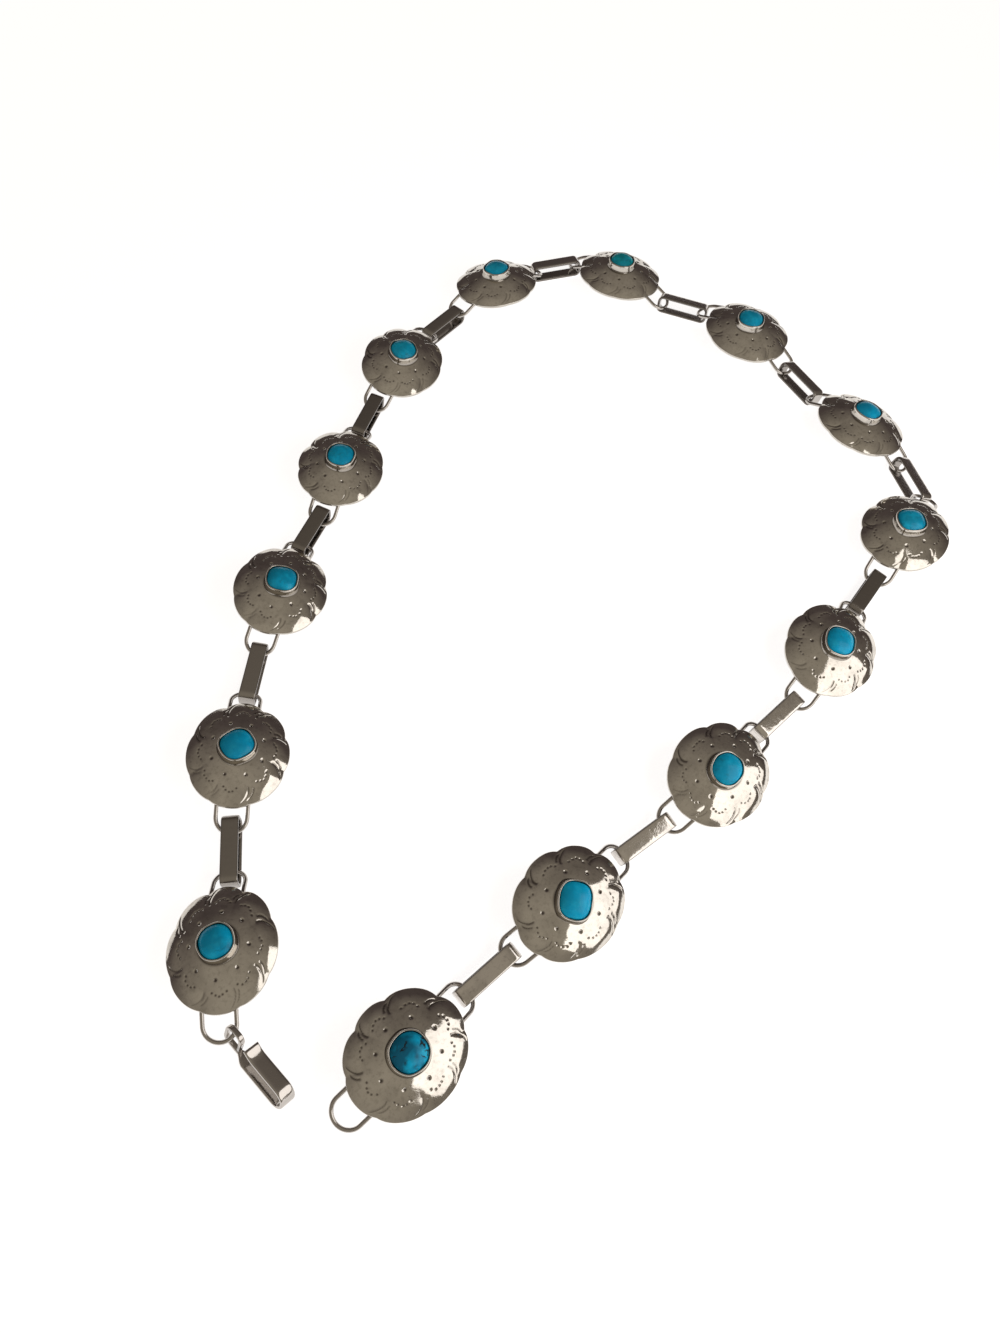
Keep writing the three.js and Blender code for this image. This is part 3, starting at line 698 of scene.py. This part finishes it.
def worn_metal_group():
    """Patina that gathers in recesses and clouds, with painted shade from the same mark, roughness that
    follows it, and scratches with dents.
    """
    group = bpy.data.node_groups.new("worn_metal", "ShaderNodeTree")
    for name, kind in (("Bright", "NodeSocketColor"), ("Patina and Shade Colour", "NodeSocketColor"),
                       ("Clouds", "NodeSocketFloat"), ("Patina and Shade", "NodeSocketFloat")):
        group.interface.new_socket(name, in_out="INPUT", socket_type=kind)
    for name, kind in (("Colour", "NodeSocketColor"), ("Roughness", "NodeSocketFloat"),
                       ("Height", "NodeSocketFloat")):
        group.interface.new_socket(name, in_out="OUTPUT", socket_type=kind)
    inlet = new_node(group, "NodeGroupInput")
    outlet = new_node(group, "NodeGroupOutput")
    where = new_node(group, "ShaderNodeTexCoord").outputs["Object"]
    clouds = spread(group, noise(group, where, CLOUD_SCALE), *CLOUD_RANGE)
    clouds = maths(group, "MULTIPLY", clouds, inlet.outputs["Clouds"])
    specks = spread(group, noise(group, where, SPECK_SCALE, SPECK_DETAIL), *SPECK_RANGE, 0, SPECK_STRENGTH)
    # The darker of the cloudy patina and the marked patina with its painted shade.
    tarnish_and_shade = maths(group, "MAXIMUM", maths(group, "ADD", clouds, specks), inlet.outputs["Patina and Shade"])
    tarnish_and_shade = maths(group, "MINIMUM", tarnish_and_shade, 1.0)
    colour = blend_colour(group, tarnish_and_shade, inlet.outputs["Bright"], inlet.outputs["Patina and Shade Colour"])
    stretched = new_node(group, "ShaderNodeMapping")
    stretched.inputs["Scale"].default_value = SCRATCH_STRETCH
    stretched.inputs["Rotation"].default_value = (0, 0, SCRATCH_TURN)
    group.links.new(where, stretched.inputs["Vector"])
    scratches = noise(group, stretched.outputs["Vector"], 1, SCRATCH_DETAIL)
    dents = noise(group, where, DENT_SCALE, DENT_DETAIL)
    rough = maths(group, "ADD", spread(group, scratches, *SCRATCH_RANGE, *CLEAN_ROUGHNESS),
                  maths(group, "MULTIPLY", tarnish_and_shade, DIRT_ROUGHNESS))
    height = maths(group, "ADD", maths(group, "MULTIPLY", scratches, SCRATCH_HEIGHT), dents)
    group.links.new(colour, outlet.inputs["Colour"])
    group.links.new(rough, outlet.inputs["Roughness"])
    group.links.new(height, outlet.inputs["Height"])
    return group


def new_material(name):
    """Material with nodes, given with its tree and its shader."""
    material = bpy.data.materials.new(name)
    material.use_nodes = True
    tree = material.node_tree
    return material, tree, tree.nodes["Principled BSDF"]


def metal(name, group, bright, patina_and_shade_colour, clouds, bump):
    """Silver: the wear group sets its colour, roughness and relief, the patina and shade mark its darkening,
    tarnish with painted shade.
    """
    material, tree, shader = new_material(name)
    worn = new_node(tree, "ShaderNodeGroup", node_tree=group)
    worn.inputs["Bright"].default_value = (*bright, 1)
    worn.inputs["Patina and Shade Colour"].default_value = (*patina_and_shade_colour, 1)
    worn.inputs["Clouds"].default_value = clouds
    tree.links.new(attribute(tree, "patina_and_shade"), worn.inputs["Patina and Shade"])
    relief = new_node(tree, "ShaderNodeBump")
    relief.inputs["Strength"].default_value = bump
    relief.inputs["Distance"].default_value = SILVER_RELIEF
    tree.links.new(worn.outputs["Height"], relief.inputs["Height"])
    tree.links.new(worn.outputs["Colour"], shader.inputs["Base Color"])
    tree.links.new(worn.outputs["Roughness"], shader.inputs["Roughness"])
    tree.links.new(relief.outputs["Normal"], shader.inputs["Normal"])
    shader.inputs["Metallic"].default_value = 1
    return material


def turquoise_material():
    """Blue to green stone with soft pale and deep clouds, and dark matrix along bent cell edges."""
    material, tree, shader = new_material("turquoise_polished")
    where = new_node(tree, "ShaderNodeTexCoord").outputs["Object"]
    hue = blend_colour(tree, attribute(tree, "green"), STONE_BLUE, STONE_GREEN)
    pale = blend_colour(tree, spread(tree, noise(tree, where, PALE_SCALE), *PALE_RANGE), hue, STONE_PALE)
    shadow = spread(tree, noise(tree, where, DEEP_SCALE, SOFT_DETAIL), *DEEP_RANGE)
    deep = blend_colour(tree, maths(tree, "MULTIPLY", shadow, attribute(tree, "dark")), pale, STONE_DEEP)
    bent = new_node(tree, "ShaderNodeVectorMath", operation="ADD")
    push = new_node(tree, "ShaderNodeTexNoise")
    push.inputs["Scale"].default_value = BEND_SCALE
    small = new_node(tree, "ShaderNodeVectorMath", operation="SCALE")
    small.inputs["Scale"].default_value = BEND_REACH
    tree.links.new(where, push.inputs["Vector"])
    tree.links.new(push.outputs["Color"], small.inputs[0])
    tree.links.new(where, bent.inputs[0])
    tree.links.new(small.outputs["Vector"], bent.inputs[1])
    cells = new_node(tree, "ShaderNodeTexVoronoi", feature="DISTANCE_TO_EDGE")
    cells.inputs["Scale"].default_value = CELL_SCALE
    tree.links.new(bent.outputs["Vector"], cells.inputs["Vector"])
    lines = spread(tree, cells.outputs["Distance"], *VEIN_RANGE, 1, 0)
    patches = spread(tree, noise(tree, where, PATCH_SCALE, SOFT_DETAIL), *PATCH_RANGE)
    veins = maths(tree, "MULTIPLY", maths(tree, "MULTIPLY", lines, patches), attribute(tree, "veins"))
    rough = spread(tree, veins, 0, 1, STONE_ROUGHNESS, VEIN_ROUGHNESS)
    tree.links.new(blend_colour(tree, veins, deep, STONE_MATRIX), shader.inputs["Base Color"])
    tree.links.new(rough, shader.inputs["Roughness"])
    relief = new_node(tree, "ShaderNodeBump", invert=True)
    relief.inputs["Strength"].default_value = VEIN_BUMP
    relief.inputs["Distance"].default_value = VEIN_RELIEF
    tree.links.new(veins, relief.inputs["Height"])
    tree.links.new(relief.outputs["Normal"], shader.inputs["Normal"])
    shader.inputs["Specular IOR Level"].default_value = STONE_SPECULAR
    shader.inputs["Coat Weight"].default_value = STONE_COAT
    shader.inputs["Coat Roughness"].default_value = COAT_ROUGHNESS
    return material


# The belt

wear = worn_metal_group()
plate_silver = metal("plate_silver", wear, bright=(0.64, 0.605, 0.55), patina_and_shade_colour=(0.085, 0.066, 0.052),
                     clouds=0.22, bump=0.08)
strip_silver = metal("strip_silver", wear, bright=(0.74, 0.7, 0.655), patina_and_shade_colour=(0.07, 0.056, 0.048),
                     clouds=0.3, bump=0.1)
turquoise = turquoise_material()

places = []
for number, ((heading, roll, pitch), cut) in enumerate(zip(CONCHO_LAY, STONE_CUTS), start=1):
    tag = f"{number:02d}"
    spin = turn(heading, roll, pitch)
    low, high = levelled_box(f"concho_{tag}", spin)
    place = spin @ [(low[0] + high[0]) / 2, (low[1] + high[1]) / 2, high[2] - LIP_Z]
    places.append(place)
    dice = np.random.default_rng(number)
    # The notches are deepest on the side away from the camera, give or take the spread.
    far_side = np.radians(90 - heading)
    deep_side = far_side + dice.uniform(-SIDE_SPREAD, SIDE_SPREAD)
    uneven = (*dice.uniform(0, 2 * np.pi, 2), deep_side)
    plate = concho_plate(f"plate_{tag}", uneven, plate_silver, spin, place, dice)
    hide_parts(f"concho_{tag}")
    bezel = bezel_cup(f"bezel_{tag}", cut, plate_silver, spin, place, dice)
    rings = [half_ring(f"ring_{tag}_{end}", direction, strip_silver, spin, place)
             for end, direction in (("back", -1), ("front", 1))]
    stone = cabochon(f"cabochon_{tag}", cut, turquoise, spin, place, dice)
    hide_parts(f"stone_{tag}")

for number, (lay, tarnish_and_painted_light) in enumerate(zip(LINK_LAY, LINK_TARNISH_AND_PAINTED_LIGHT), start=1):
    spin = turn(*lay)
    low, high = levelled_box(f"link_{number:02d}", spin)
    link = link_loop(f"strip_link_{number:02d}", tarnish_and_painted_light, strip_silver, spin, spin @ ((low + high) / 2))
    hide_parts(f"link_{number:02d}")

hook_spin = turn(*HOOK_LAY)
low, high = levelled_box("hook", hook_spin)
hook_middle = low[2] + HOOK_WALL + HOOK_HEIGHT / 2
hook_place = hook_spin @ [high[0] - HOOK_WALL, (low[1] + high[1]) / 2, hook_middle]
hook = hook_strip("belt_hook", strip_silver, hook_spin, hook_place)
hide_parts("hook")


# Camera, light and floor
# Camera and light lie in millimetres from the point on the floor below the camera. Angles are degrees, and
# the floor's reach is in metres.

CAMERA_HEIGHT = 282.3
CAMERA_PITCH = 60.09
CAMERA_ROLL = -4.01
FOCAL_PIXELS = 963.1
PICTURE_HEIGHT = 1333
SENSOR_HEIGHT = 36
NEAREST_SEEN = 0.01
CONCHO_FROM_CAMERA = (-71.73, 61.19)
first_x, first_y, _ = places[0]
camera_foot = np.array([first_x - CONCHO_FROM_CAMERA[0], first_y - CONCHO_FROM_CAMERA[1], 0])

ROOM_LEAN = (0.1, -0.55, 0.83)
ROOM_RANGE = (-0.1, 0.95)
ROOM_DARK = (0.085, 0.068, 0.064)
ROOM_LIGHT = (0.37, 0.332, 0.272)
FLOOR_REACH = 3
FLOOR_COLOUR = (0.93, 0.93, 0.93)
FLOOR_ROUGHNESS = 0.9
FLOOR_GLOW_COLOUR = (0.985, 0.985, 1)
FLOOR_GLOW = 0.78


def floor_plane():
    """Pale floor that glows by itself, so that it stays nearly as even as in the photo."""
    corners = [(x * FLOOR_REACH, y * FLOOR_REACH, 0) for x, y in ((-1, -1), (1, -1), (1, 1), (-1, 1))]
    mesh = bpy.data.meshes.new("floor")
    mesh.from_pydata(corners, [], [(0, 1, 2, 3)])
    material, _, shader = new_material("pale_floor")
    shader.inputs["Base Color"].default_value = (*FLOOR_COLOUR, 1)
    shader.inputs["Roughness"].default_value = FLOOR_ROUGHNESS
    shader.inputs["Emission Color"].default_value = (*FLOOR_GLOW_COLOUR, 1)
    shader.inputs["Emission Strength"].default_value = FLOOR_GLOW
    mesh.materials.append(material)
    plane = bpy.data.objects.new("floor", mesh)
    bpy.context.scene.collection.objects.link(plane)


def area_light(name, centre, target, size, power, colour):
    """Rectangular light at its centre, facing a target."""
    lamp = bpy.data.lights.new(name, "AREA")
    lamp.shape = "RECTANGLE"
    lamp.size, lamp.size_y = np.array(size) * MM
    lamp.energy = power
    lamp.color = colour
    holder = bpy.data.objects.new(name, lamp)
    start = camera_foot + centre
    aim = camera_foot + target - start
    back = -aim / np.linalg.norm(aim)
    side = np.cross((0, 0, 1), back)
    side /= np.linalg.norm(side)
    matrix = np.eye(4)
    matrix[:3, :3] = np.stack([side, np.cross(back, side), back], axis=-1)
    matrix[:3, 3] = start * MM
    holder.matrix_world = Matrix(matrix.tolist())
    bpy.context.scene.collection.objects.link(holder)


def place_camera():
    """Camera looking along +Y and down by its pitch, rolled about its own line of sight."""
    pitch, roll = np.radians([CAMERA_PITCH, CAMERA_ROLL])
    forward = np.array([0, np.cos(pitch), -np.sin(pitch)])
    right = np.array([1, 0, 0])
    down = np.array([0, -np.sin(pitch), -np.cos(pitch)])
    matrix = np.eye(4)
    matrix[:3, 0] = right * np.cos(roll) + down * np.sin(roll)
    matrix[:3, 1] = -(down * np.cos(roll) - right * np.sin(roll))
    matrix[:3, 2] = -forward
    matrix[:3, 3] = (camera_foot + (0, 0, CAMERA_HEIGHT)) * MM
    lens = bpy.data.cameras.new("camera")
    lens.sensor_fit = "VERTICAL"
    lens.sensor_height = SENSOR_HEIGHT
    lens.lens = FOCAL_PIXELS / PICTURE_HEIGHT * SENSOR_HEIGHT
    lens.clip_start = NEAREST_SEEN
    camera = bpy.data.objects.new("camera", lens)
    camera.matrix_world = Matrix(matrix.tolist())
    bpy.context.scene.collection.objects.link(camera)
    bpy.context.scene.camera = camera


def studio_world():
    """A dim warm room for the silver to mirror: darkest low at the back, lightest above the front."""
    world = bpy.data.worlds.new("studio")
    world.use_nodes = True
    tree = world.node_tree
    lean = new_node(tree, "ShaderNodeVectorMath", operation="DOT_PRODUCT")
    lean.inputs[1].default_value = ROOM_LEAN
    tree.links.new(new_node(tree, "ShaderNodeTexCoord").outputs["Generated"], lean.inputs[0])
    light = blend_colour(tree, spread(tree, lean.outputs["Value"], *ROOM_RANGE), ROOM_DARK, ROOM_LIGHT)
    tree.links.new(light, tree.nodes["Background"].inputs["Color"])
    bpy.context.scene.world = world


floor_plane()
area_light("window", centre=(290, -25, 187), target=(60, -25, 0), size=(450, 300), power=0.66,
           colour=(1, 0.975, 0.96))
studio_world()
place_camera()
bpy.context.scene.view_settings.view_transform = "Standard"
